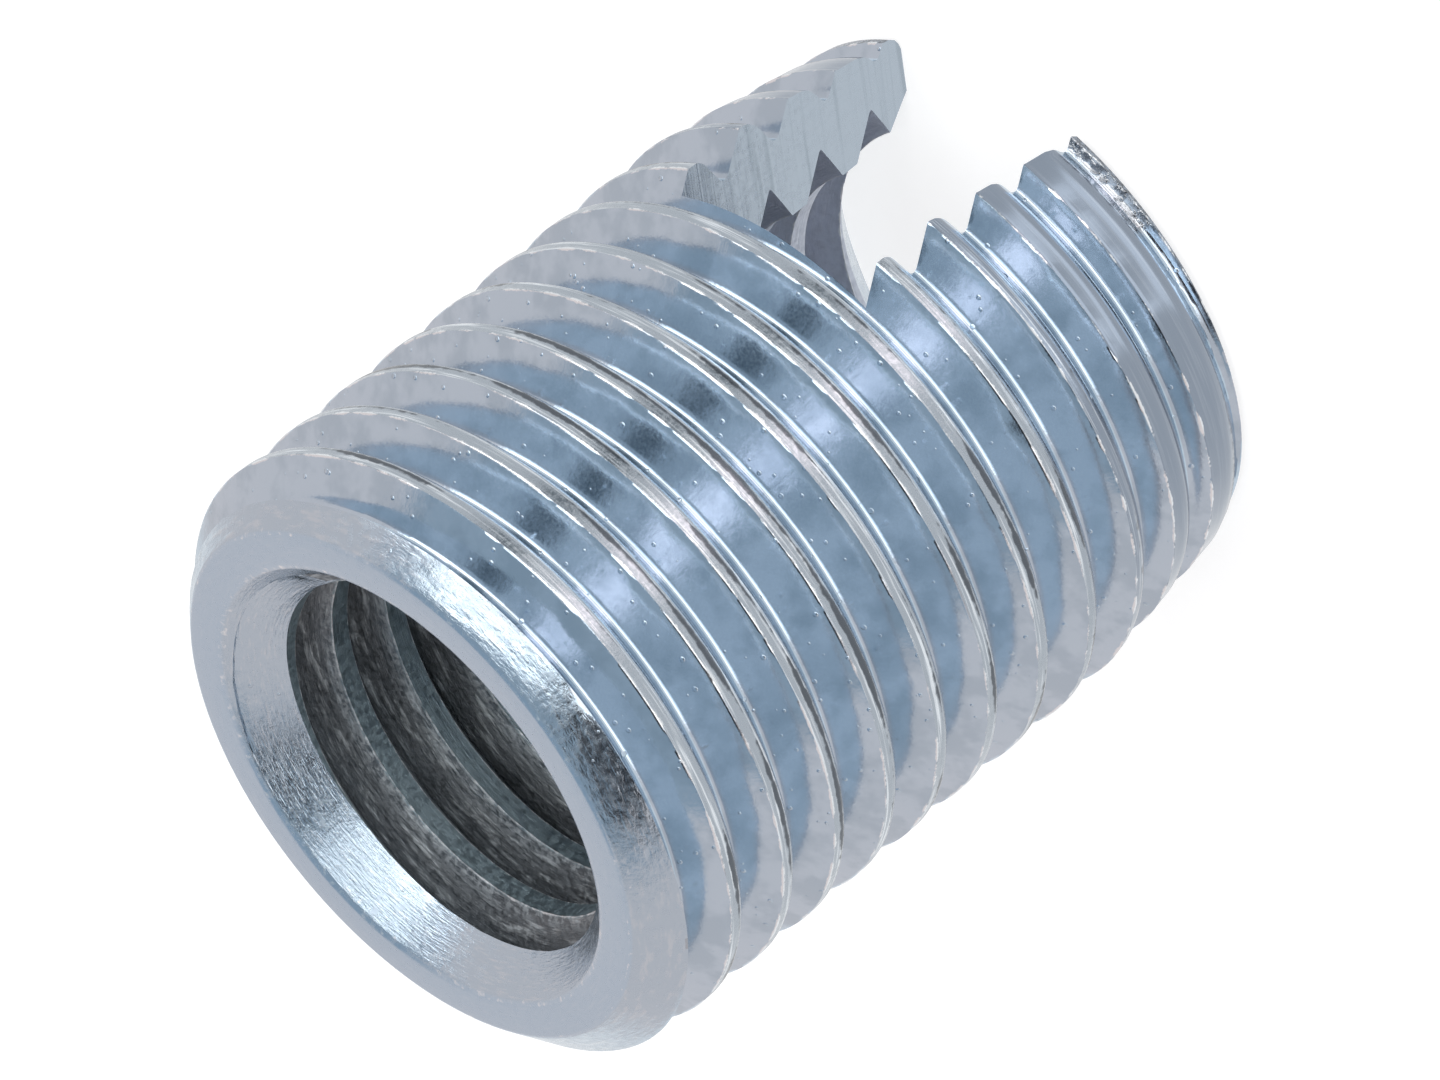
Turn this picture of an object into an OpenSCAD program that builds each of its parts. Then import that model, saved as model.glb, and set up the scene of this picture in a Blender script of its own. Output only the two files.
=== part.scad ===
// Slotted threaded insert: a headless steel bush with a coarse outer thread that
// cuts its own way into a drilled hole, and a metric thread through its bore.
// Millimetres, +Z up, standing on its slotted end, origin on the axis at that end.

/* [Insert] */
// Length from the slotted end to the flat drive end
insert_length = 18; // [12:0.5:30]

/* [Outer thread] */
// Diameter over the crests of the outer thread
outer_crest_d = 14; // [13:0.1:20]
// Axial distance from one outer crest to the next
outer_pitch = 1.5; // [1.35:0.05:2.5]
// Radial depth of the outer thread
outer_depth = 0.88; // [0.3:0.01:0.95]
// Axial width of the flat on each outer crest
outer_crest_flat = 0.3; // [0.1:0.05:0.45]
// Angle between an outer flank and a plane square to the axis
outer_flank_angle = 30; // [15:1:34]
// Angle about the axis at which an outer crest meets the plane of the slotted end
outer_start = 36.5; // [0:0.5:360]

/* [Bore thread] */
// Diameter over the crests of the bore thread, which is the drilled size
bore_crest_d = 8.5; // [6:0.1:9.4]
// Axial distance from one bore crest to the next
bore_pitch = 1.5; // [1.2:0.05:2.5]
// Radial depth of the bore thread
bore_depth = 0.9; // [0.3:0.05:1]
// Angle between a bore flank and a plane square to the axis
bore_flank_angle = 30; // [15:1:35]
// Angle about the axis at which a bore groove meets the plane of the slotted end
bore_start = 144; // [0:0.5:360]

/* [Ends] */
// Radial width of the bevel round the drive face
drive_bevel = 1; // [0.3:0.1:1.4]
// Axial length of that bevel
drive_bevel_length = 0.95; // [0.3:0.05:2]
// Radial drop of the crests at the slotted end, where the lead-in taper starts
lead_drop = 0.63; // [0.1:0.01:1.2]
// Axial length of the lead-in taper
lead_length = 4.4; // [1:0.1:8]
// Edge break round the slotted end
lead_edge = 0.25; // [0.05:0.05:0.5]
// How far the countersink's mouth at the drive end reaches past the root of the bore thread
countersink_land = 0.05; // [0.05:0.05:0.4]
// Axial depth of the countersink at the slotted end
slotted_countersink = 0.7; // [0.2:0.05:1]
// Angle between the wall of either countersink and the axis
countersink_angle = 45; // [30:1:60]

/* [Slot] */
// Width of the cutting slot that crosses the lower end
slot_width = 5; // [2:0.1:7]
// Depth of the cutting slot
slot_depth = 6.4; // [2:0.1:10]

/* [Hidden] */

// Steps of each groove in a turn, and facets of each turned face
steps_per_turn = 36;
round_facets = 96;
// How far a cutter runs past the face that it cuts
overrun = 0.1;

outer_crest_r = outer_crest_d / 2;
outer_root_r = outer_crest_r - outer_depth;
bore_crest_r = bore_crest_d / 2;
bore_root_r = bore_crest_r + bore_depth;

// A groove that winds round the axis from from_z to to_z. Its section is a list of
// [radius, height] points, taken anticlockwise, and start is its angle at height 0.
module groove(section, pitch, start, from_z, to_z) {
    turn = 360 / steps_per_turn;
    rise = pitch / steps_per_turn;
    rings = ceil((to_z - from_z) / rise);
    corners = len(section);
    points = [
        for (ring = [0 : rings])
            let (
                z = from_z + ring * rise,
                angle = start + from_z / pitch * 360 + ring * turn
            )
            for (corner = section)
                [corner[0] * cos(angle), corner[0] * sin(angle), corner[1] + z]
    ];
    sides = [
        for (ring = [0 : rings - 1])
            for (corner = [0 : corners - 1])
                let (
                    next = (corner + 1) % corners,
                    low = ring * corners,
                    high = low + corners
                )
                each [
                    [low + corner, low + next, high + next],
                    [low + corner, high + next, high + corner]
                ]
    ];
    first = [for (corner = [corners - 1 : -1 : 0]) corner];
    last = [for (corner = [0 : corners - 1]) rings * corners + corner];
    polyhedron(points, concat([first, last], sides), convexity = 20);
}

// Cuts the outer thread: a flat root, two flanks, and a mouth a little past the
// crests, where the turns still stand clear of each other.
module outer_groove() {
    flank = tan(outer_flank_angle);
    crest_half = (outer_pitch - outer_crest_flat) / 2;
    root_half = crest_half - outer_depth * flank;
    mouth_half = crest_half + outer_crest_flat / 4;
    mouth_r = outer_root_r + (mouth_half - root_half) / flank;
    groove(
        [
            [outer_root_r, -root_half],
            [mouth_r, -mouth_half],
            [mouth_r, mouth_half],
            [outer_root_r, root_half]
        ],
        outer_pitch,
        outer_start + 180,
        -outer_pitch,
        insert_length + outer_pitch
    );
}

// Cuts the bore thread, with a sharp root.
module bore_groove() {
    mouth_r = bore_crest_r - overrun;
    mouth_half = (bore_root_r - mouth_r) * tan(bore_flank_angle);
    groove(
        [[mouth_r, -mouth_half], [bore_root_r, 0], [mouth_r, mouth_half]],
        bore_pitch,
        bore_start,
        -bore_pitch,
        insert_length + bore_pitch
    );
}

// The turned blank: edge break and lead-in taper below, drive bevel at the top.
module blank() {
    lead_r = outer_crest_r - lead_drop;
    rotate_extrude($fn = round_facets)
        polygon([
            [0, 0],
            [lead_r - lead_edge, 0],
            [lead_r, lead_edge],
            [outer_crest_r, lead_length],
            [outer_crest_r, insert_length - drive_bevel_length],
            [outer_crest_r - drive_bevel, insert_length],
            [0, insert_length]
        ]);
}

module bore() {
    translate([0, 0, -overrun])
        cylinder(h = insert_length + 2 * overrun, r = bore_crest_r, $fn = round_facets);
}

// A cone that opens the bore to face_r where it leaves the slotted end.
module countersink(face_r) {
    widening = tan(countersink_angle);
    mouth_r = face_r + overrun * widening;
    translate([0, 0, -overrun])
        cylinder(h = mouth_r / widening, r1 = mouth_r, r2 = 0, $fn = round_facets);
}

module slot() {
    reach = outer_crest_d + 2 * overrun;
    translate([-reach / 2, -slot_width / 2, -overrun])
        cube([reach, slot_width, slot_depth + overrun]);
}

module insert() {
    color("lightsteelblue")
        difference() {
            blank();
            outer_groove();
            bore();
            bore_groove();
            countersink(bore_crest_r + slotted_countersink * tan(countersink_angle));
            translate([0, 0, insert_length])
                mirror([0, 0, 1])
                    countersink(bore_root_r + countersink_land);
            slot();
        }
}

insert();
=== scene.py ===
import bmesh
import bpy
import math
import numpy as np
from mathutils import Matrix, Vector


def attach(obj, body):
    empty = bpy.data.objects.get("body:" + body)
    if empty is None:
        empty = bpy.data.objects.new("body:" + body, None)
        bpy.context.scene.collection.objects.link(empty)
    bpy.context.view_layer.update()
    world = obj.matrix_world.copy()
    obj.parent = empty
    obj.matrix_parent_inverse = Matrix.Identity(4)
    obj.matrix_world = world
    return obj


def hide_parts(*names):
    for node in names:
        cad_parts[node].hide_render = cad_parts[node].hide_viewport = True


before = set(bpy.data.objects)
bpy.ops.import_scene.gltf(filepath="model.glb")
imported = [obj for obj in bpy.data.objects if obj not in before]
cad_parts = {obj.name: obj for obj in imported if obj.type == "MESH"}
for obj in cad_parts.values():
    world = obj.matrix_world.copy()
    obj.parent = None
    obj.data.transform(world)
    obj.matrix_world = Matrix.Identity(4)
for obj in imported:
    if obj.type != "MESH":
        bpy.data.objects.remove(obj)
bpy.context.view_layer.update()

scene = bpy.context.scene
scene.view_settings.view_transform = "Standard"
mm = 0.001


def compass(azimuth, elevation):
    a, e = math.radians(azimuth), math.radians(elevation)
    return Vector((math.cos(e) * math.cos(a), math.cos(e) * math.sin(a), math.sin(e)))


def addObject(name, data):
    made = bpy.data.objects.new(name, data)
    scene.collection.objects.link(made)
    return made


# angles in degrees, distance, aim and lens in millimetres
cameraView = {
    "azimuth": -39.858,
    "elevation": 29.063,
    "roll": -128.849,
    "distance": 331.413,
    "aim": (-0.032, -0.056, 8.980),
    "lens": 412.62,
    "sensor": 36,
    "clip": (0.01, 20),
}


def placeCamera(view):
    back = compass(view["azimuth"], view["elevation"])
    level = Vector((0, 0, 1)).cross(back).normalized()
    upright = back.cross(level)
    roll = math.radians(view["roll"])
    right = level * math.cos(roll) + upright * math.sin(roll)
    up = back.cross(right)
    camera = bpy.data.cameras.new("studioCamera")
    camera.lens = view["lens"]
    camera.sensor_width = view["sensor"]
    camera.clip_start, camera.clip_end = view["clip"]
    holder = addObject("studioCamera", camera)
    turned = Matrix((right, up, back)).transposed().to_4x4()
    turned.translation = (Vector(view["aim"]) + back * view["distance"]) * mm
    holder.matrix_world = turned
    scene.camera = holder


placeCamera(cameraView)
print("camera placed")


# node helpers shared by the studio and the finishes
def wire(tree, source, target):
    tree.links.new(source, target)


def place(tree, kind, **values):
    node = tree.nodes.new(kind)
    for key, value in values.items():
        setattr(node, key, value)
    return node


def feed(tree, socket, value):
    if hasattr(value, "is_output"):
        wire(tree, value, socket)
    else:
        socket.default_value = value


def maths(tree, operation, first, second=None, third=None, clamp=False):
    node = place(tree, "ShaderNodeMath", operation=operation, use_clamp=clamp)
    for socket, value in zip(node.inputs, (first, second, third)):
        if value is not None:
            feed(tree, socket, value)
    return node.outputs[0]


def ramp(tree, value, low, high, outLow=0.0, outHigh=1.0):
    node = place(tree, "ShaderNodeMapRange", interpolation_type="SMOOTHSTEP")
    for socket, number in zip(list(node.inputs)[:5], (value, low, high, outLow, outHigh)):
        feed(tree, socket, number)
    return node.outputs[0]


def blend(tree, mask, first, second):
    node = place(tree, "ShaderNodeMix", data_type="RGBA")
    feed(tree, node.inputs["Factor"], mask)
    feed(tree, node.inputs[6], first)
    feed(tree, node.inputs[7], second)
    return node.outputs[2]


def dot(tree, first, second):
    node = place(tree, "ShaderNodeVectorMath", operation="DOT_PRODUCT")
    feed(tree, node.inputs[0], first)
    feed(tree, node.inputs[1], second)
    return node.outputs["Value"]


def newGroup(name, inputs, outputs):
    tree = bpy.data.node_groups.new(name, "ShaderNodeTree")
    kinds = {"value": "NodeSocketFloat", "vector": "NodeSocketVector"}
    for label, kind, start in inputs:
        socket = tree.interface.new_socket(name=label, in_out="INPUT", socket_type=kinds[kind])
        socket.default_value = start
    for label, kind in outputs:
        tree.interface.new_socket(name=label, in_out="OUTPUT", socket_type=kinds[kind])
    return tree, tree.nodes.new("NodeGroupInput"), tree.nodes.new("NodeGroupOutput")


def useGroup(tree, group, **values):
    node = place(tree, "ShaderNodeGroup", node_tree=group)
    for key, value in values.items():
        feed(tree, node.inputs[key], value)
    return node


studio = {
    "background": (1.0, 1.0, 1.0, 1.0),
    "surround": (0.88, 0.80, 0.78, 1.0),
    "floorHalf": 0.6,
    "floorDrop": 0.00002,
    "floorTone": (0.42, 0.42, 0.42, 1),
    "floorGlow": 0.74,
    # name, azimuth, elevation, half width, half height, softness, colour
    "cards": [
        ("lowerGlow", 0, -90, 2.0, 2.0, 0.1, (1.0, 1.0, 1.0, 1)),
        ("overhead", 0, 89, 0.50, 0.50, 0.06, (0.42, 0.50, 0.57, 1)),
        ("darkPanel", -84, 57, 0.35, 0.18, 0.03, (0.04, 0.04, 0.045, 1)),
        ("lowDark", 3, -24, 0.09, 0.22, 0.04, (0.24, 0.27, 0.29, 1)),
        ("lowBlue", -31, -24, 0.105, 0.24, 0.035, (2.7, 2.35, 2.3, 1)),
        ("lowPanel", -48, -58, 0.34, 0.10, 0.05, (1.8, 1.8, 1.8, 1)),
        ("overPanel", 12, 26, 0.36, 0.23, 0.03, (3.2, 3.2, 3.2, 1)),
        ("sidePanel", -52, 26, 0.53, 0.24, 0.03, (2.4, 2.4, 2.4, 1)),
        ("keyPanel", -8, 58, 0.36, 0.15, 0.02, (2.6, 2.6, 2.55, 1)),
    ],
}


def softCardGroup():
    # a soft-edged panel of light, placed by the direction that it is seen in
    tree, given, out = newGroup(
        "softCard",
        [("Facing", "vector", (0, 0, 1)), ("Across", "vector", (1, 0, 0)), ("Up", "vector", (0, 1, 0)),
         ("HalfWidth", "value", 0.2), ("HalfHeight", "value", 0.2), ("Softness", "value", 0.05)],
        [("Mask", "value")],
    )
    ray = place(tree, "ShaderNodeTexCoord").outputs["Generated"]

    def within(label, half):
        reach = maths(tree, "ABSOLUTE", dot(tree, ray, given.outputs[label]))
        edge = maths(tree, "ADD", given.outputs[half], given.outputs["Softness"])
        return ramp(tree, reach, given.outputs[half], edge, 1.0, 0.0)

    mask = maths(tree, "MULTIPLY", within("Across", "HalfWidth"), within("Up", "HalfHeight"))
    front = maths(tree, "GREATER_THAN", dot(tree, ray, given.outputs["Facing"]), 0.0)
    wire(tree, maths(tree, "MULTIPLY", mask, front), out.inputs["Mask"])
    return tree


def hangStudio(settings):
    world = bpy.data.worlds.new("studioWorld")
    scene.world = world
    world.use_nodes = True
    tree = world.node_tree
    tree.nodes.clear()
    card = softCardGroup()
    colour = settings["surround"]
    for name, azimuth, elevation, width, height, soft, tint in settings["cards"]:
        facing = compass(azimuth, elevation)
        level = Vector((0, 0, 1)).cross(facing).normalized()
        node = useGroup(tree, card, Facing=facing, Across=level, Up=facing.cross(level),
                        HalfWidth=width, HalfHeight=height, Softness=soft)
        node.label = name
        colour = blend(tree, node.outputs["Mask"], colour, tint)
    shown = place(tree, "ShaderNodeBackground")
    feed(tree, shown.inputs["Color"], settings["background"])
    lighting = place(tree, "ShaderNodeBackground")
    feed(tree, lighting.inputs["Color"], colour)
    path = place(tree, "ShaderNodeLightPath")
    pick = place(tree, "ShaderNodeMixShader")
    wire(tree, path.outputs["Is Camera Ray"], pick.inputs[0])
    wire(tree, lighting.outputs[0], pick.inputs[1])
    wire(tree, shown.outputs[0], pick.inputs[2])
    wire(tree, pick.outputs[0], place(tree, "ShaderNodeOutputWorld").inputs["Surface"])


def floorPaint(settings):
    # the floor gives its shadow to the camera, and metal sees the bright surround through it
    material = bpy.data.materials.new("paleFloor")
    material.use_nodes = True
    tree = material.node_tree
    tree.nodes.clear()
    lit = place(tree, "ShaderNodeBsdfDiffuse")
    feed(tree, lit.inputs["Color"], settings["floorTone"])
    glow = place(tree, "ShaderNodeEmission")
    path = place(tree, "ShaderNodeLightPath")
    wire(tree, maths(tree, "MULTIPLY", path.outputs["Is Camera Ray"], settings["floorGlow"]), glow.inputs["Strength"])
    both = place(tree, "ShaderNodeAddShader")
    wire(tree, lit.outputs[0], both.inputs[0])
    wire(tree, glow.outputs[0], both.inputs[1])
    clear = place(tree, "ShaderNodeBsdfTransparent")
    side = place(tree, "ShaderNodeNewGeometry")
    seen = maths(tree, "MAXIMUM", path.outputs["Is Glossy Ray"], path.outputs["Is Transmission Ray"])
    pick = place(tree, "ShaderNodeMixShader")
    wire(tree, maths(tree, "MAXIMUM", seen, side.outputs["Backfacing"]), pick.inputs[0])
    wire(tree, both.outputs[0], pick.inputs[1])
    wire(tree, clear.outputs[0], pick.inputs[2])
    wire(tree, pick.outputs[0], place(tree, "ShaderNodeOutputMaterial").inputs["Surface"])
    return material


def layFloor(settings):
    half = settings["floorHalf"]
    sheet = bpy.data.meshes.new("studioFloor")
    sheet.from_pydata([(-half, -half, 0), (half, -half, 0), (half, half, 0), (-half, half, 0)], [], [(0, 1, 2, 3)])
    sheet.materials.append(floorPaint(settings))
    laid = addObject("studioFloor", sheet)
    laid.location.z = -settings["floorDrop"]


hangStudio(studio)
layFloor(studio)
print("studio ready")


# lengths in millimetres, angles in degrees
insertShape = {
    "columns": 270,
    "length": 18.0,
    "pitch": 1.5,
    # height and radius of the blank, from the slotted end to the drive face
    "blank": ((0.0, 5.94), (0.05, 6.10), (0.14, 6.25), (0.3, 6.36), (4.4, 6.9995), (17.05, 6.9995), (18.0, 6.0)),
    "bevelStart": 17.05,
    "bevelReach": 0.03,
    "crestStart": 36.5,
    # radius of the uncut thread form, by distance from the crest towards the drive end
    "grooveForm": ((-0.75, 6.12), (-0.70, 6.135), (-0.64, 6.18), (-0.58, 6.262), (0.0125, 7.2883), (0.61, 6.2534),
                   (0.66, 6.178), (0.71, 6.135), (0.75, 6.12)),
    "crestMiddle": 0.0125,
    # how far the corners of a crest are rounded, and over which heights that changes
    "roundLead": 0.40,
    "roundSlottedSide": 0.16,
    "roundDriveSide": 0.04,
    "roundLeadFade": (4.8, 6.8),
    "roundBevelFade": (16.9, 17.3),
    "roundBevelShare": 0.1,
    # rows beside a crest: inside at this share of its half width, or this far in if that is wider,
    # then outside its edge this far out, but at least here, and last in the groove
    "slottedSideRows": {"inside": ((0.4, 9), (0.7, 0.05)),
                        "outside": ((0, 0), (0.05, 0), (0.11, 0), (0.20, 0)), "groove": (0.58, 0.64, 0.70)},
    "driveSideRows": {"inside": ((0.4, 0.11), (0.66, 0.06), (0.86, 0.025)),
                      "outside": ((0, 0), (0.03, 0), (0.061, 0.585)), "groove": (0.61, 0.66, 0.71)},
    "boreRows": {"inside": ((0.5, 0.03),), "outside": ((0, 0), (0.04, 0), (0.041, 0.71)), "groove": ()},
    # how far rows are looked for on each side of a crest, and their least distance apart
    "searchReach": 0.74,
    "searchSteps": 34,
    "rowReach": 0.7499,
    "rowGap": 0.001,
    "crestRows": range(-3, 4),
    # unevenness of the edges, as rough, calm and wandering noise smoothed over so many columns
    "noiseWidths": (1, 9, 5),
    "boreNoiseWidth": 2,
    "edgeWander": 0.004,
    "edgeRough": 0.003,
    "edgeFade": 0.1,
    "slack": 0.001,
    # by row, counted from the middle of a crest: share of the relief and its spread,
    # rubbing with painted glint on the lip and its spread, and dark of the painted shade line
    "crestRelief": 0.010,
    "reliefReach": 0.12,
    "reliefRows": {-3: (1, 0), -2: (1, 0), -1: (1, 0), 0: (1, 0), 1: (1, 0), 2: (0.8, 0.5), 3: (0.3, 0.3)},
    "lipRows": {2: (0.10, 0.2), 3: (0.40, 0.3), 4: (0.56, 0.3)},
    "shadeLineRows": {-2: 0.05, -1: 0.62, 0: 0.25},
    "shadeLineSpread": 0.35,
    # the painted shade line keeps only this share on the lead, below these heights
    "shadeLineFade": (3.6, 4.6),
    "shadeLineOnLead": 0.2,
    # span along the length over which relief, lip marks and the painted shade line come in; share of the lip's
    # rubbing and painted glint left at the ends; and rubbing with painted glint on the rims of the flat faces
    "markedSpan": (0, 0.35, 16.7, 17.02),
    "lipAtEnds": 0.4,
    "rimWear": 0.35,
    "faceEdge": 17.97,
    "boreCrest": 4.25,
    "boreRoot": 5.17,
    "boreRootCap": 5.14,
    "boreGrooveStart": 138.0,
    "boreFlank": 30.0,
    # rubbing with a painted glint on the edges of the bore's crests, fading out at the drive end
    "boreLip": 0.72,
    "boreLipFade": (17.0, 17.1),
    # the bore groove runs out in the drive cone, and leaves a fine line there
    "runOutFade": (17.36, 17.56),
    "runOutRadius": 4.76,
    "runOutLine": (0.07, 0.036),
    "runOutLineSpan": (17.58, 17.66, 17.86, 17.9),
    "driveCone": (17.05, 17.912),
    "slottedCone": 0.70,
    "coneReach": 0.08,
    "faceRound": ((5.99, 17.99), (5.94, 18.0), (5.63, 18.0), (5.324, 18.0), (5.246, 17.99), (5.174, 17.96)),
    "endRings": (0, 0.05, 0.5, 0.95, 1),
    "slotWidth": 5.0,
    "slotDepth": 6.4,
    "slotReach": 8.0,
    "slotStart": -1.0,
    "slotFacing": 0.99,
    "sharpAngle": 38,
    "seed": 41,
}

zoneGroove, zoneCrest, zoneTurned, zoneBore, zoneSlot = range(5)
rowWeld, skinWeld = 1e-6, 2e-9


def smoothNoise(random, count, width):
    margin = 4 * width
    raw = random.normal(size=count + 2 * margin)
    kernel = np.hanning(2 * width + 3)
    kept = np.convolve(raw, kernel / np.sqrt((kernel ** 2).sum()), mode="same")
    return kept[margin:margin + count]


def crossing(shape, form, wall, middle, side):
    # half width at which the thread form meets the plain wall on one side of a crest
    low, high = np.zeros_like(middle), np.full_like(middle, shape["searchReach"])
    for _ in range(shape["searchSteps"]):
        probe = (low + high) / 2
        inside = form(side * probe) > wall(middle + side * probe)
        low, high = np.where(inside, probe, low), np.where(inside, high, probe)
    return low


def outerWall(shape, z):
    return np.interp(z, *zip(*shape["blank"]))


def outerForm(shape, s):
    return np.interp(s, *zip(*shape["grooveForm"]))


def boreWall(shape, z):
    return shape["boreCrest"] + np.maximum(0, np.maximum(z - shape["driveCone"][0], shape["slottedCone"] - z))


def boreForm(shape, s):
    slope = 1 / math.tan(math.radians(shape["boreFlank"]))
    return np.minimum(shape["boreRootCap"], shape["boreRoot"] - (shape["pitch"] / 2 - np.abs(s)) * slope)


def fromCrest(shape, z, azimuth, start):
    # distance along the axis from the nearest crest, below zero on its slotted side
    middle = shape["pitch"] * (azimuth - start) / 360
    return (z - middle + 20.5 * shape["pitch"]) % shape["pitch"] - shape["pitch"] / 2


def crestRadius(shape, z, azimuth):
    # the lesser of wall and thread form, with the corner between them rounded
    wall = outerWall(shape, z)
    s = fromCrest(shape, z, azimuth, shape["crestStart"])
    formed = outerForm(shape, s)
    slotted = np.interp(z, shape["roundLeadFade"], (shape["roundLead"], shape["roundSlottedSide"]))
    soft = np.where(s < shape["crestMiddle"], slotted, shape["roundDriveSide"])
    soft = soft * np.interp(z, shape["roundBevelFade"], (1, shape["roundBevelShare"]))
    return np.minimum(wall, formed) - np.maximum(soft - np.abs(wall - formed), 0) ** 2 / (4 * soft)


def boreRadius(shape, z, azimuth):
    wall = boreWall(shape, z)
    formed = boreForm(shape, fromCrest(shape, z, azimuth, shape["boreGrooveStart"] + 180))
    fromRoot = np.abs(fromCrest(shape, z, azimuth, shape["boreGrooveStart"]))
    height, halfWidth = shape["runOutLine"]
    line = height * np.clip(1 - fromRoot / halfWidth, 0, 1) * np.interp(z, shape["runOutLineSpan"], (0, 1, 1, 0))
    fade = np.interp(z, shape["runOutFade"], (shape["boreRoot"], shape["runOutRadius"]))
    runOut = np.where(z > shape["runOutFade"][1], wall + line, fade)
    return np.maximum(wall, np.minimum(formed, runOut))


def besideCrest(shape, edge, rows):
    steps = [np.maximum(edge * share, edge - inset) for share, inset in rows["inside"]]
    steps += [np.maximum(edge + outset, least) for outset, least in rows["outside"]]
    last = steps[-1]
    steps += [np.maximum(level, last + shape["rowGap"] * order) for order, level in enumerate(rows["groove"], 1)]
    return [np.minimum(step, shape["rowReach"]) for step in steps]


def acrossCrest(pitch, columns, half):
    # distances from the middle of a crest, from the root on its slotted side to the last row on its drive side
    slotted = [-step for step in half[-1][::-1]]
    return [np.full(columns, -pitch / 2)] + slotted + [np.zeros(columns)] + half[1]


def outerRows(shape, azimuth, random):
    # each row holds its heights, relief, lip rubbing with painted glint, dark of the painted shade line, distance
    # from the crest, and last whether the faces above it belong to the crest
    pitch, columns = shape["pitch"], len(azimuth)
    turns = range(-2, int(shape["length"] / pitch) + 2)
    noises = [smoothNoise(random, len(turns) * columns, width) for width in shape["noiseWidths"]]
    rows = []
    for order, turn in enumerate(turns):
        middle = pitch * (azimuth - shape["crestStart"]) / 360 + turn * pitch
        rough, calm, wander = (noise[order * columns:(order + 1) * columns] for noise in noises)
        clipped = rough.clip(-1, 1)
        half = {}
        for side, name in ((-1, "slottedSideRows"), (1, "driveSideRows")):
            edge = crossing(shape, lambda s: outerForm(shape, s), lambda z: outerWall(shape, z), middle, side)
            uneven = shape["edgeWander"] * wander + shape["edgeRough"] * rough
            half[side] = besideCrest(shape, edge + uneven * np.minimum(1, edge / shape["edgeFade"]), shape[name])
        stations = acrossCrest(pitch, columns, half)
        for index, station in enumerate(stations):
            z = np.clip(middle + station, 0, shape["faceEdge"])
            marked = np.interp(z, shape["markedSpan"], (0, 1, 1, 0))
            near = index - 1 - len(half[-1])
            share, spread = shape["reliefRows"].get(near, (0, 0))
            relief = shape["crestRelief"] * (share - spread * clipped) * marked
            # the lip mark: rubbing with a painted glint along the edges of the crest
            share, spread = shape["lipRows"].get(near, (0, 0))
            lip = np.clip(share + spread * rough, 0, 1) * (shape["lipAtEnds"] + (1 - shape["lipAtEnds"]) * marked)
            # the painted shade line: a dark streak painted along the slotted side of the crest
            shadeLine = np.zeros(columns)
            if near in shape["shadeLineRows"]:
                shadeLine = np.clip(shape["shadeLineRows"][near] + shape["shadeLineSpread"] * calm, 0, 1)
                shadeLine = shadeLine * np.interp(z, shape["shadeLineFade"], (shape["shadeLineOnLead"], 1)) * marked
            rows.append((z, relief, lip, shadeLine, station, near in shape["crestRows"]))
    return rows, len(stations)


def boreRows(shape, azimuth, random):
    pitch, columns = shape["pitch"], len(azimuth)
    turns = range(-2, int(shape["length"] / pitch) + 2)
    torn = smoothNoise(random, len(turns) * columns, shape["boreNoiseWidth"])
    rows = []
    for order, turn in enumerate(turns):
        middle = pitch * (azimuth - shape["boreGrooveStart"]) / 360 + (turn + 0.5) * pitch
        uneven = shape["edgeRough"] * torn[order * columns:(order + 1) * columns].clip(-2, 2)
        half = {}
        for side in (-1, 1):
            edge = crossing(shape, lambda s: -boreForm(shape, s), lambda z: -boreWall(shape, z), middle, side)
            half[side] = besideCrest(shape, edge + uneven, shape["boreRows"])
        stations = acrossCrest(pitch, columns, half)
        for index, station in enumerate(stations):
            z = np.clip(middle + station, 0, shape["driveCone"][1])
            # the edges of the bore's crests get rubbing with a painted glint
            onEdge = abs(index - 1 - len(half[-1])) == 2
            lip = shape["boreLip"] * onEdge * np.interp(z, shape["boreLipFade"], (1, 0))
            rows.append((z, np.zeros(columns), lip, np.zeros(columns), station, False))
    return rows, len(stations)


def helicalSkin(rows, perTurn, azimuth, planes, flip):
    # rows climb one pitch per turn, so the last column joins the first one a turn further on
    columns = len(azimuth)
    cosines, sines = np.cos(np.radians(azimuth)), np.sin(np.radians(azimuth))
    points, faces, crest = [], [], []
    for row in rows:
        points += list(zip(cosines, sines, row[0]))
    for m, row in enumerate(rows[:-1]):
        for j in range(columns):
            k, n = (j + 1, m) if j < columns - 1 else (0, m + perTurn)
            if n + 1 < len(rows):
                quad = (m * columns + j, n * columns + k, (n + 1) * columns + k, (m + 1) * columns + j)
                faces.append(quad[::-1] if flip else quad)
                crest.append(row[-1])
    sheet = bpy.data.meshes.new("skinRows")
    sheet.from_pydata(points, [], faces)
    sheet.polygons.foreach_set("material_index", np.array(crest, np.int32))
    names = ("relief", "lip", "shadeLine", "across")
    for column, name in enumerate(names, 1):
        values = np.concatenate([row[column] for row in rows]).astype(np.float32)
        sheet.attributes.new(name, "FLOAT", "POINT").data.foreach_set("value", values)
    shaped = bmesh.new()
    shaped.from_mesh(sheet)
    bpy.data.meshes.remove(sheet)
    bmesh.ops.remove_doubles(shaped, verts=shaped.verts, dist=rowWeld)
    for height in planes:
        everything = shaped.verts[:] + shaped.edges[:] + shaped.faces[:]
        bmesh.ops.bisect_plane(shaped, geom=everything, dist=rowWeld, plane_co=(0, 0, height), plane_no=(0, 0, 1))
    bmesh.ops.delete(shaped, geom=[v for v in shaped.verts if not v.link_faces], context="VERTS")
    shaped.verts.index_update()
    layers = [shaped.verts.layers.float[name] for name in names]
    table = np.array([[math.degrees(math.atan2(v.co.y, v.co.x)) % 360, v.co.z] + [v[layer] for layer in layers]
                      for v in shaped.verts])
    loops = [([v.index for v in face.verts], face.material_index) for face in shaped.faces]
    shaped.free()
    return table, loops


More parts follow.
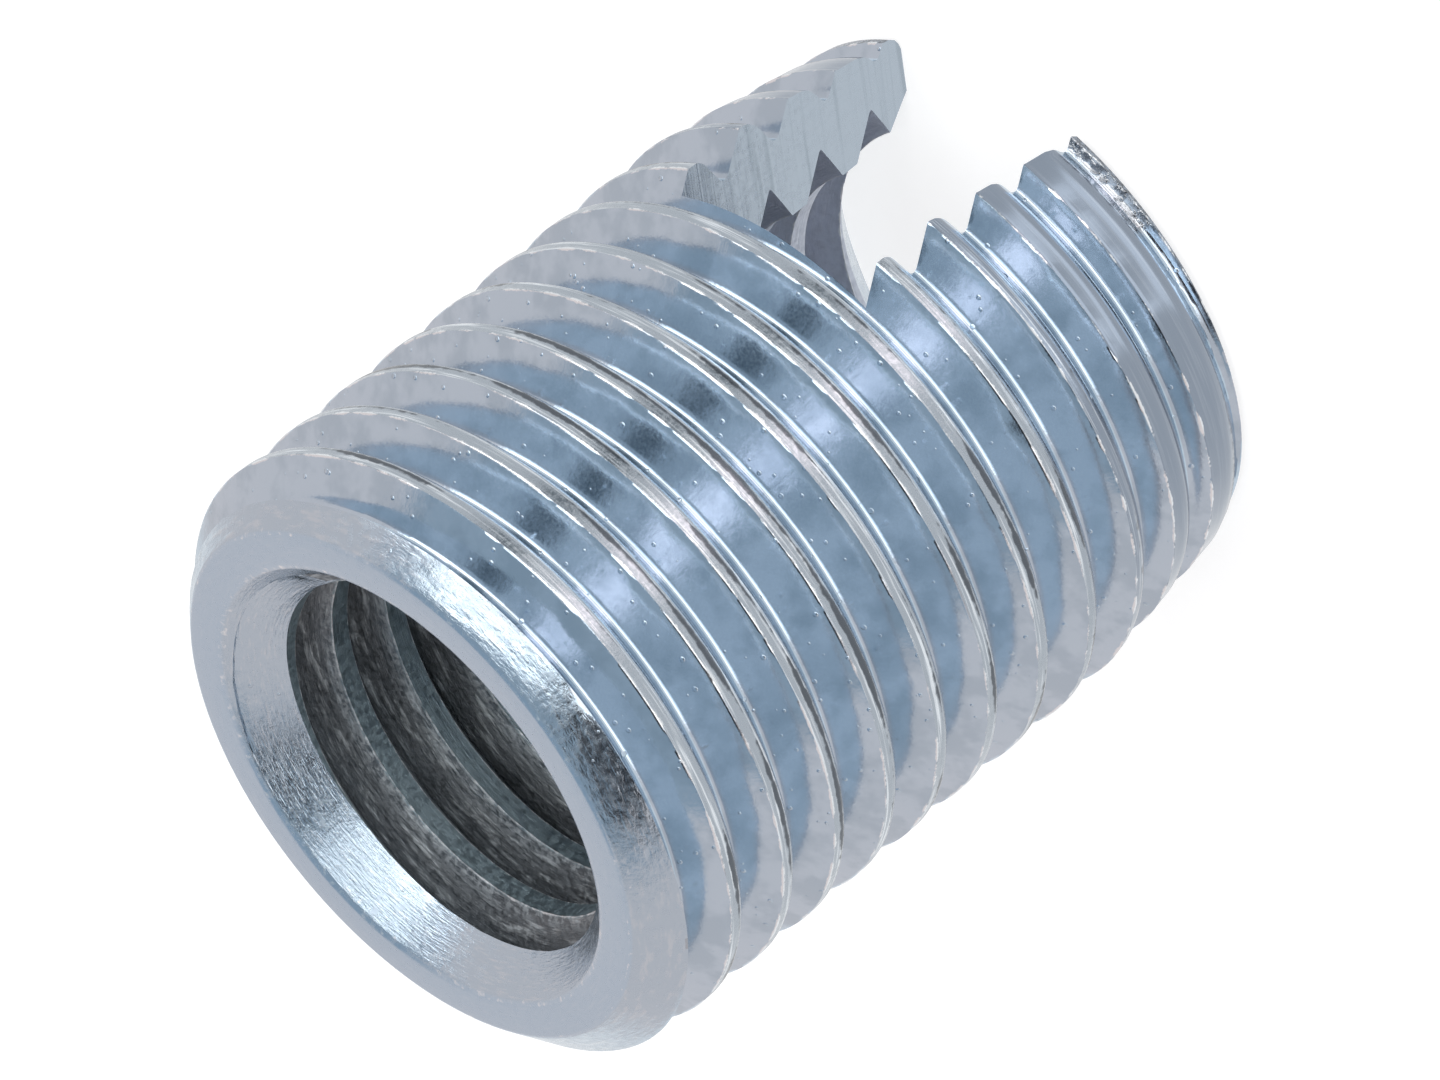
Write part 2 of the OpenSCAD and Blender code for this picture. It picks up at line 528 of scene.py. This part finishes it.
def insertMesh(shape):
    random = np.random.default_rng(shape["seed"])
    azimuth = np.arange(shape["columns"]) * 360 / shape["columns"]
    coneStart, coneTop = shape["driveCone"]
    slack = shape["slack"]
    points, faces, zones = [], [], []
    # point marks: lip rubbing with painted glint, the painted shade line, and place across the crest
    marks = {"lipWear": [], "shadeLineDark": [], "acrossCrest": []}

    def addPoints(turned, z, radius, *values):
        first = len(points)
        angle = np.radians(turned)
        points.extend(zip(radius * np.cos(angle), radius * np.sin(angle), z))
        for kept, value in zip(marks.values(), values):
            kept.extend(value)
        return first

    def addFaces(loops, first, turnedPoints, plainZone, crestZone):
        for loop, onCrest in loops:
            faces.append([first + i for i in loop])
            zones.append(zoneTurned if turnedPoints[loop].all() else crestZone if onCrest else plainZone)

    # outer skin
    rows, perTurn = outerRows(shape, azimuth, random)
    table, loops = helicalSkin(rows, perTurn, azimuth, [z for z, r in shape["blank"][1:-1]], False)
    turned, z, relief, lip, shadeLine, across = table.T
    wall, radius = outerWall(shape, z), crestRadius(shape, z, turned)
    radius = radius - relief * (radius > wall - shape["reliefReach"])
    first = addPoints(turned, z, radius, lip, shadeLine, across)
    bevelled = (z > shape["bevelStart"] - slack) & (radius > wall - shape["bevelReach"])
    addFaces(loops, first, bevelled, zoneGroove, zoneCrest)

    # bore skin
    rows, perTurn = boreRows(shape, azimuth, random)
    table, loops = helicalSkin(rows, perTurn, azimuth, (shape["slottedCone"], coneStart), True)
    turned, z, relief, lip, shadeLine, across = table.T
    wall, radius = boreWall(shape, z), boreRadius(shape, z, turned)
    first = addPoints(turned, z, radius, lip, shadeLine, across)
    coned = ((z > coneStart - slack) | (z < shape["slottedCone"] + slack)) & (radius < wall + shape["coneReach"])
    addFaces(loops, first, coned, zoneBore, zoneBore)

    # flat faces at both ends, ring by ring
    level = np.ones_like(azimuth)
    top, bottom = shape["faceEdge"], 0 * level
    boreStart = shape["boreGrooveStart"] + 180
    boreLow = np.maximum(boreWall(shape, bottom), boreForm(shape, fromCrest(shape, bottom, azimuth, boreStart)))
    outerLow = crestRadius(shape, bottom, azimuth)
    upper = [(crestRadius(shape, top * level, azimuth), top)] + [(r * level, z) for r, z in shape["faceRound"]]
    upper.append((boreWall(shape, coneTop * level), coneTop))
    lower = [(boreLow + (outerLow - boreLow) * share, 0) for share in shape["endRings"]]
    for strip in (upper, lower):
        rings = []
        for radius, z in strip:
            # the rims of the flat faces get rubbing with a painted glint too
            rim = level * shape["rimWear"] * (0 < z < shape["length"])
            rings.append(addPoints(azimuth, level * z, radius, rim, bottom, bottom))
        for low, high in zip(rings, rings[1:]):
            for j in range(len(azimuth)):
                k = (j + 1) % len(azimuth)
                faces.append([low + j, low + k, high + k, high + j])
                zones.append(zoneTurned)

    mesh = bpy.data.meshes.new("insertSkin")
    mesh.from_pydata([tuple(c * mm for c in p) for p in points], [], faces)
    for name, values in marks.items():
        mesh.attributes.new(name, "FLOAT", "POINT").data.foreach_set("value", np.array(values, np.float32))
    mesh.polygons.foreach_set("material_index", np.array(zones, np.int32))
    shaped = bmesh.new()
    shaped.from_mesh(mesh)
    bmesh.ops.remove_doubles(shaped, verts=shaped.verts, dist=skinWeld)
    bmesh.ops.recalc_face_normals(shaped, faces=shaped.faces)
    openEdges = sum(len(edge.link_faces) != 2 for edge in shaped.edges)
    print("insert skin:", len(shaped.faces), "faces,", openEdges, "edges not shared by two faces")
    shaped.to_mesh(mesh)
    shaped.free()
    return mesh


def cutSlot(holder, shape):
    half, reach, depth = shape["slotWidth"] / 2, shape["slotReach"], shape["slotDepth"]
    box = bmesh.new()
    corners = [(x, y, z) for z in (shape["slotStart"], depth) for x, y in
               ((-reach, -half), (reach, -half), (reach, half), (-reach, half))]
    made = [box.verts.new(Vector(c) * mm) for c in corners]
    for loop in ((3, 2, 1, 0), (4, 5, 6, 7), (0, 1, 5, 4), (1, 2, 6, 5), (2, 3, 7, 6), (3, 0, 4, 7)):
        box.faces.new([made[i] for i in loop])
    mesh = bpy.data.meshes.new("slotCutter")
    box.to_mesh(mesh)
    box.free()
    cutter = addObject("slotCutter", mesh)
    cut = holder.modifiers.new("slot", "BOOLEAN")
    cut.operation, cut.solver, cut.object = "DIFFERENCE", "EXACT", cutter
    bpy.context.view_layer.objects.active = holder
    bpy.ops.object.modifier_apply(modifier="slot")
    bpy.data.objects.remove(cutter)
    for face in holder.data.polygons:
        c, n = face.center / mm, face.normal
        onWall = abs(abs(c.y) - half) < shape["slack"] and abs(n.y) > shape["slotFacing"] and c.z < depth
        onFloor = abs(c.z - depth) < shape["slack"] and n.z < -shape["slotFacing"] and abs(c.y) < half
        if onWall or onFloor:
            face.material_index = zoneSlot


def shadeSkin(mesh, angle):
    mesh.polygons.foreach_set("use_smooth", np.ones(len(mesh.polygons), bool))
    mesh.set_sharp_from_angle(angle=math.radians(angle))


# settings of the groups that the zinc finishes share; each mask fades in between two values of its noise
plating = {
    "noiseRough": 0.6,
    "streakDetail": 3,
    "streakMask": (0.50, 0.68),
    "grainMask": (0.42, 0.62),
    "speckSpread": 0.5,
    "breakupDetail": 3,
    "breakupNoise": (1.1, -0.55),
    "breakupMask": (0.35, 0.75),
    "gritSpan": (0.3, 0.7),
}


def polarGroup():
    # place in millimetres, with its distance from the axis, its height and its direction round the axis
    tree, given, out = newGroup(
        "polarPlace", [], [("Place", "vector"), ("Radius", "value"), ("Height", "value"), ("Around", "vector")])
    seat = place(tree, "ShaderNodeTexCoord").outputs["Object"]
    scaled = place(tree, "ShaderNodeVectorMath", operation="SCALE")
    wire(tree, seat, scaled.inputs[0])
    scaled.inputs["Scale"].default_value = 1 / mm
    flat = place(tree, "ShaderNodeVectorMath", operation="MULTIPLY")
    wire(tree, scaled.outputs[0], flat.inputs[0])
    flat.inputs[1].default_value = (1, 1, 0)
    reach = place(tree, "ShaderNodeVectorMath", operation="LENGTH")
    wire(tree, flat.outputs[0], reach.inputs[0])
    around = place(tree, "ShaderNodeVectorMath", operation="NORMALIZE")
    wire(tree, flat.outputs[0], around.inputs[0])
    parts = place(tree, "ShaderNodeSeparateXYZ")
    wire(tree, scaled.outputs[0], parts.inputs[0])
    wire(tree, scaled.outputs[0], out.inputs["Place"])
    wire(tree, reach.outputs["Value"], out.inputs["Radius"])
    wire(tree, parts.outputs["Z"], out.inputs["Height"])
    wire(tree, around.outputs[0], out.inputs["Around"])
    return tree


def streakGroup(look):
    # long marks that follow the tool: fine across, drawn out along the path
    tree, given, out = newGroup(
        "toolStreaks",
        [("Across", "value", 0.0), ("Along", "vector", (0, 0, 0)),
         ("Fineness", "value", 20.0), ("Breaks", "value", 3.0)],
        [("Height", "value"), ("Mask", "value")],
    )
    along = place(tree, "ShaderNodeVectorMath", operation="SCALE")
    wire(tree, given.outputs["Along"], along.inputs[0])
    wire(tree, given.outputs["Breaks"], along.inputs["Scale"])
    noise = place(tree, "ShaderNodeTexNoise", noise_dimensions="4D")
    wire(tree, along.outputs[0], noise.inputs["Vector"])
    wire(tree, maths(tree, "MULTIPLY", given.outputs["Across"], given.outputs["Fineness"]), noise.inputs["W"])
    noise.inputs["Scale"].default_value = 1
    noise.inputs["Detail"].default_value = look["streakDetail"]
    noise.inputs["Roughness"].default_value = look["noiseRough"]
    wire(tree, noise.outputs[0], out.inputs["Height"])
    wire(tree, ramp(tree, noise.outputs[0], *look["streakMask"]), out.inputs["Mask"])
    return tree


def grainGroup(look):
    # cloudy plating grain, from broad tone down to fine grit
    tree, given, out = newGroup(
        "platingGrain",
        [("Place", "vector", (0, 0, 0)), ("Scale", "value", 6.0), ("Detail", "value", 4.0)],
        [("Height", "value"), ("Mask", "value")],
    )
    noise = place(tree, "ShaderNodeTexNoise")
    for label in ("Scale", "Detail"):
        wire(tree, given.outputs[label], noise.inputs[label])
    wire(tree, given.outputs["Place"], noise.inputs["Vector"])
    noise.inputs["Roughness"].default_value = look["noiseRough"]
    wire(tree, noise.outputs[0], out.inputs["Height"])
    wire(tree, ramp(tree, noise.outputs[0], *look["grainMask"]), out.inputs["Mask"])
    return tree


def noduleGroup(look):
    # scattered round specks of plating, each in its own cell
    tree, given, out = newGroup(
        "platingNodules",
        [("Place", "vector", (0, 0, 0)), ("Scale", "value", 4.0), ("Chance", "value", 0.3), ("Size", "value", 0.16)],
        [("Height", "value")],
    )
    cells = place(tree, "ShaderNodeTexVoronoi", feature="F1")
    wire(tree, given.outputs["Place"], cells.inputs["Vector"])
    wire(tree, given.outputs["Scale"], cells.inputs["Scale"])
    pick = place(tree, "ShaderNodeSeparateColor")
    wire(tree, cells.outputs["Color"], pick.inputs[0])
    chosen = maths(tree, "LESS_THAN", pick.outputs[0], given.outputs["Chance"])
    size = maths(tree, "MULTIPLY", given.outputs["Size"], maths(tree, "ADD", pick.outputs[1], look["speckSpread"]))
    share = maths(tree, "DIVIDE", cells.outputs["Distance"], size, clamp=True)
    dome = maths(tree, "SQRT", maths(tree, "SUBTRACT", 1.0, maths(tree, "MULTIPLY", share, share), clamp=True))
    wire(tree, maths(tree, "MULTIPLY", dome, chosen), out.inputs["Height"])
    return tree


def breakupGroup(look):
    # marked places: a stored mark broken up by grain; it serves the rubbed lips with their painted glint, and the
    # painted shade line
    tree, given, out = newGroup(
        "edgeWear",
        [("Wear", "value", 0.0), ("Place", "vector", (0, 0, 0)), ("Grain", "value", 9.0)],
        [("Mask", "value")],
    )
    noise = place(tree, "ShaderNodeTexNoise")
    wire(tree, given.outputs["Place"], noise.inputs["Vector"])
    wire(tree, given.outputs["Grain"], noise.inputs["Scale"])
    noise.inputs["Detail"].default_value = look["breakupDetail"]
    broken = maths(tree, "MULTIPLY_ADD", noise.outputs[0], *look["breakupNoise"])
    wire(tree, ramp(tree, maths(tree, "ADD", given.outputs["Wear"], broken), *look["breakupMask"]), out.inputs["Mask"])
    return tree


polar, streaks, grain = polarGroup(), streakGroup(plating), grainGroup(plating)
nodules, breakup = noduleGroup(plating), breakupGroup(plating)


def markOf(tree, name):
    return place(tree, "ShaderNodeAttribute", attribute_name=name).outputs["Fac"]


def newZinc(name):
    material = bpy.data.materials.new(name)
    material.use_nodes = True
    tree = material.node_tree
    shader = tree.nodes["Principled BSDF"]
    shader.inputs["Metallic"].default_value = 1
    return material, tree, shader, useGroup(tree, polar)


def dress(tree, shader, colour, grit, rough, *layers):
    # gives the shader its colour, a roughness that follows the grit, and height layers given in millimetres
    wire(tree, colour, shader.inputs["Base Color"])
    wire(tree, ramp(tree, grit, *plating["gritSpan"], *rough), shader.inputs["Roughness"])
    total = 0.0
    for height, depth in layers:
        total = maths(tree, "MULTIPLY_ADD", height, depth, total)
    bump = place(tree, "ShaderNodeBump")
    bump.inputs["Strength"].default_value = 1
    bump.inputs["Distance"].default_value = mm
    wire(tree, total, bump.inputs["Height"])
    wire(tree, bump.outputs[0], shader.inputs["Normal"])


grooveLook = {
    "blue": (0.485, 0.578, 0.675, 1),
    "smoke": (0.41, 0.50, 0.59, 1),
    # bright: rubbed lips with a painted glint
    "bright": (0.72, 0.75, 0.79, 1),
    "rough": (0.10, 0.20),
    "broad": {"Scale": 0.9, "Detail": 3.0},
    "waves": {"Scale": 2.2, "Detail": 3.5},
    "fine": {"Scale": 16.0, "Detail": 3.0},
    "chatter": {"Scale": 26.0, "Detail": 3.0},
    "specks": {"Scale": 3.4, "Chance": 0.55, "Size": 0.15},
    "chatterTwist": (0.004, 0.004, 0.03),
    "breakupGrain": 12.0,
    "waveDepth": 0.005, "chatterDepth": 0.0022, "grainDepth": 0.0015, "speckDepth": 0.024,
    # mottled stretch of rim at the slotted end, beside one corner of the slot
    "rimPale": (0.47, 0.49, 0.52, 1),
    "rimTorn": (0.17, 0.18, 0.20, 1),
    "rimPatches": {"Scale": 4.5, "Detail": 3.0},
    "rimTowards": -20,
    "rimReach": (0.895, 0.915),
    "rimHeight": (0.50, 0.40),
    "rimDepth": 0.010,
}


def zincGroove(look):
    material, tree, shader, seat = newZinc("zincGroove")
    at, around = seat.outputs["Place"], seat.outputs["Around"]
    broad = useGroup(tree, grain, Place=at, **look["broad"])
    waves = useGroup(tree, grain, Place=at, **look["waves"])
    fine = useGroup(tree, grain, Place=at, **look["fine"])
    specks = useGroup(tree, nodules, Place=at, **look["specks"])
    twist = place(tree, "ShaderNodeVectorMath", operation="MULTIPLY_ADD")
    wire(tree, at, twist.inputs[0])
    twist.inputs[1].default_value = look["chatterTwist"]
    wire(tree, around, twist.inputs[2])
    chatter = useGroup(tree, grain, Place=twist.outputs[0], **look["chatter"])
    marked = useGroup(tree, breakup, Wear=markOf(tree, "lipWear"), Place=at, Grain=look["breakupGrain"])
    patches = useGroup(tree, grain, Place=at, **look["rimPatches"])
    towards = dot(tree, around, compass(look["rimTowards"], 0))
    rim = maths(tree, "MULTIPLY", ramp(tree, seat.outputs["Height"], *look["rimHeight"]),
                ramp(tree, towards, *look["rimReach"]))
    torn = maths(tree, "MULTIPLY", rim, patches.outputs["Mask"])
    tone = blend(tree, broad.outputs["Mask"], look["blue"], look["smoke"])
    tone = blend(tree, rim, tone, blend(tree, patches.outputs["Mask"], look["rimPale"], look["rimTorn"]))
    # painted glint: rubbed lips are painted bright
    tone = blend(tree, marked.outputs["Mask"], tone, look["bright"])
    dress(tree, shader, tone, fine.outputs["Height"], look["rough"],
          (waves.outputs["Height"], look["waveDepth"]), (fine.outputs["Height"], look["grainDepth"]),
          (chatter.outputs["Height"], look["chatterDepth"]), (specks.outputs["Height"], look["speckDepth"]),
          (torn, look["rimDepth"]))
    return material


crestLook = {
    "flat": (0.38, 0.425, 0.475, 1),
    "lead": (0.25, 0.295, 0.36, 1),
    # dark: the painted shade line beside the crests, and the torn end of the lead
    "dark": (0.11, 0.125, 0.145, 1),
    "streak": (0.74, 0.79, 0.84, 1),
    # bright: rubbed lips with a painted glint
    "bright": (0.74, 0.77, 0.80, 1),
    "rough": (0.16, 0.34),
    "lines": {"Fineness": 15.0, "Breaks": 0.45},
    "grit": {"Scale": 11.0, "Detail": 3.0},
    "breakupGrain": 13.0,
    "shadeLineGrain": 4.0,
    # the crests are smoother on the lead, and torn at its very end
    "ringHeight": (3.2, 5.0),
    "ringShare": (0.08, 1.0),
    "roughShare": (0.62, 1.0),
    "leadHeight": (4.0, 6.0),
    "tornHeight": (0.62, 0.40),
    "lineDepth": 0.006, "grainDepth": 0.0025, "tornDepth": 0.012,
}


def zincCrest(look):
    material, tree, shader, seat = newZinc("zincCrest")
    at, height = seat.outputs["Place"], seat.outputs["Height"]
    lines = useGroup(tree, streaks, Across=markOf(tree, "acrossCrest"), Along=at, **look["lines"])
    grit = useGroup(tree, grain, Place=at, **look["grit"])
    marked = useGroup(tree, breakup, Wear=markOf(tree, "lipWear"), Place=at, Grain=look["breakupGrain"])
    # painted shade: a dark line painted along the slotted side of the crests
    shadeLine = useGroup(tree, breakup, Wear=markOf(tree, "shadeLineDark"), Place=at, Grain=look["shadeLineGrain"])
    ring = ramp(tree, height, *look["ringHeight"], *look["ringShare"])
    torn = maths(tree, "MULTIPLY", ramp(tree, height, *look["tornHeight"]), grit.outputs["Mask"])
    tone = blend(tree, ramp(tree, height, *look["leadHeight"]), look["lead"], look["flat"])
    tone = blend(tree, maths(tree, "MULTIPLY", lines.outputs["Mask"], ring), tone, look["streak"])
    # the dark tone covers the painted shade line and the torn end
    tone = blend(tree, maths(tree, "MAXIMUM", shadeLine.outputs["Mask"], torn), tone, look["dark"])
    # painted glint: rubbed lips are painted bright
    tone = blend(tree, marked.outputs["Mask"], tone, look["bright"])
    spread = ramp(tree, ring, *look["ringShare"], *look["roughShare"])
    uneven = maths(tree, "MULTIPLY", grit.outputs["Height"], spread)
    dress(tree, shader, tone, uneven, look["rough"],
          (maths(tree, "MULTIPLY", lines.outputs["Height"], ring), look["lineDepth"]),
          (maths(tree, "MULTIPLY", grit.outputs["Height"], ring), look["grainDepth"]), (torn, look["tornDepth"]))
    return material


turnedLook = {
    "plain": (0.44, 0.545, 0.655, 1),
    "pale": (0.56, 0.63, 0.71, 1),
    # grey: painted reflection tone of the slopes
    "grey": (0.46, 0.52, 0.575, 1),
    # bright: rubbed rims with a painted glint
    "bright": (0.85, 0.86, 0.87, 1),
    "rough": (0.14, 0.30),
    "marks": {"Fineness": 9.0, "Breaks": 12.0},
    "radiusShare": 2.0,
    "grit": {"Scale": 5.0, "Detail": 4.0},
    "specks": {"Scale": 3.5, "Chance": 0.25, "Size": 0.12},
    "breakupGrain": 6.0,
    # the flat faces keep only this share of the marks, and the slopes are painted this much greyer, a painted
    # reflection tone
    "faceShare": 0.2,
    "faceHeight": (17.93, 17.98),
    "slopeGrey": 0.55,
    "markDepth": 0.018, "grainDepth": 0.010, "speckDepth": 0.010,
}


def zincTurned(look):
    material, tree, shader, seat = newZinc("zincTurned")
    at = seat.outputs["Place"]
    across = maths(tree, "MULTIPLY_ADD", seat.outputs["Radius"], look["radiusShare"], seat.outputs["Height"])
    marks = useGroup(tree, streaks, Across=across, Along=seat.outputs["Around"], **look["marks"])
    grit = useGroup(tree, grain, Place=at, **look["grit"])
    specks = useGroup(tree, nodules, Place=at, **look["specks"])
    marked = useGroup(tree, breakup, Wear=markOf(tree, "lipWear"), Place=at, Grain=look["breakupGrain"])
    sloped = ramp(tree, seat.outputs["Height"], *look["faceHeight"], 1.0, look["faceShare"])
    tone = blend(tree, maths(tree, "MULTIPLY", marks.outputs["Mask"], sloped), look["plain"], look["pale"])
    # painted reflection: the slopes are painted greyer than the flat faces, which offsets the blue they reflect from
    # the overhead card
    silver = maths(tree, "SUBTRACT", sloped, look["faceShare"], clamp=True)
    tone = blend(tree, maths(tree, "MULTIPLY", silver, look["slopeGrey"]), tone, look["grey"])
    # painted glint: rubbed rims are painted bright
    tone = blend(tree, marked.outputs["Mask"], tone, look["bright"])
    layers = [(maths(tree, "MULTIPLY", source.outputs["Height"], sloped), look[depth])
              for source, depth in ((marks, "markDepth"), (grit, "grainDepth"), (specks, "speckDepth"))]
    dress(tree, shader, tone, grit.outputs["Height"], look["rough"], *layers)
    return material


boreLook = {
    "crest": (0.30, 0.38, 0.42, 1),
    "flank": (0.50, 0.54, 0.57, 1),
    # darkTone: painted shade deep in the bore's groove
    "darkTone": (0.20, 0.22, 0.24, 1),
    # open: painted light at the open, slotted end of the bore
    "open": (0.52, 0.56, 0.64, 1),
    # bright: rubbed crest edges with a painted glint
    "bright": (0.75, 0.77, 0.79, 1),
    "rough": (0.36, 0.66),
    "marks": {"Fineness": 14.0, "Breaks": 1.2},
    "grit": {"Scale": 7.0, "Detail": 4.0},
    "breakupGrain": 6.0,
    # radius at which a flank begins, reach of the lighter flecks beside the crests, beyond which the flank is painted
    # dark as shade towards the root, and heights over which the open, slotted end is painted brighter as light
    "flankRadius": (4.262, 4.30),
    "litFleckRadius": (4.29, 4.60),
    "litFleckShare": 0.7,
    "openHeight": (10.5, 7.0),
    "markDepth": 0.022, "grainDepth": 0.014,
}


def zincBore(look):
    material, tree, shader, seat = newZinc("zincBore")
    at, radius = seat.outputs["Place"], seat.outputs["Radius"]
    marks = useGroup(tree, streaks, Across=markOf(tree, "acrossCrest"), Along=at, **look["marks"])
    grit = useGroup(tree, grain, Place=at, **look["grit"])
    marked = useGroup(tree, breakup, Wear=markOf(tree, "lipWear"), Place=at, Grain=look["breakupGrain"])
    # painted shade: the flank is painted dark towards the root, except for tool marks and lighter flecks near the
    # crests
    nearEdge = ramp(tree, radius, *look["litFleckRadius"], look["litFleckShare"], 0.0)
    litFlecks = maths(tree, "MULTIPLY", nearEdge, grit.outputs["Mask"])
    cut = blend(tree, maths(tree, "MAXIMUM", marks.outputs["Mask"], litFlecks), look["darkTone"], look["flank"])
    tone = blend(tree, ramp(tree, radius, *look["flankRadius"]), look["crest"], cut)
    # painted light: the bore is painted brighter towards its open, slotted end
    tone = blend(tree, ramp(tree, seat.outputs["Height"], *look["openHeight"]), tone, look["open"])
    # painted glint: rubbed crest edges are painted bright
    tone = blend(tree, marked.outputs["Mask"], tone, look["bright"])
    dress(tree, shader, tone, grit.outputs["Height"], look["rough"],
          (marks.outputs["Height"], look["markDepth"]), (grit.outputs["Height"], look["grainDepth"]))
    return material


slotLook = {
    "plain": (0.41, 0.475, 0.545, 1),
    "darkTone": (0.34, 0.40, 0.46, 1),
    "rough": (0.20, 0.30),
    "marks": {"Fineness": 5.0, "Breaks": 0.12},
    "grit": {"Scale": 7.0, "Detail": 4.0},
    "markDepth": 0.009, "grainDepth": 0.0012,
}


def zincSlot(look):
    material, tree, shader, seat = newZinc("zincSlot")
    at = seat.outputs["Place"]
    marks = useGroup(tree, streaks, Across=seat.outputs["Height"], Along=at, **look["marks"])
    grit = useGroup(tree, grain, Place=at, **look["grit"])
    tone = blend(tree, marks.outputs["Mask"], look["plain"], look["darkTone"])
    dress(tree, shader, tone, grit.outputs["Height"], look["rough"],
          (marks.outputs["Height"], look["markDepth"]), (grit.outputs["Height"], look["grainDepth"]))
    return material


insertSkin = addObject("insertSkin", insertMesh(insertShape))
finishes = (zincGroove(grooveLook), zincCrest(crestLook), zincTurned(turnedLook),
            zincBore(boreLook), zincSlot(slotLook))
for material in finishes:
    insertSkin.data.materials.append(material)
cutSlot(insertSkin, insertShape)
shadeSkin(insertSkin.data, insertShape["sharpAngle"])
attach(insertSkin, "root")
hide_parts("insert")
print("insert skin cut:", len(insertSkin.data.polygons), "faces in", len(finishes), "zinc finishes")
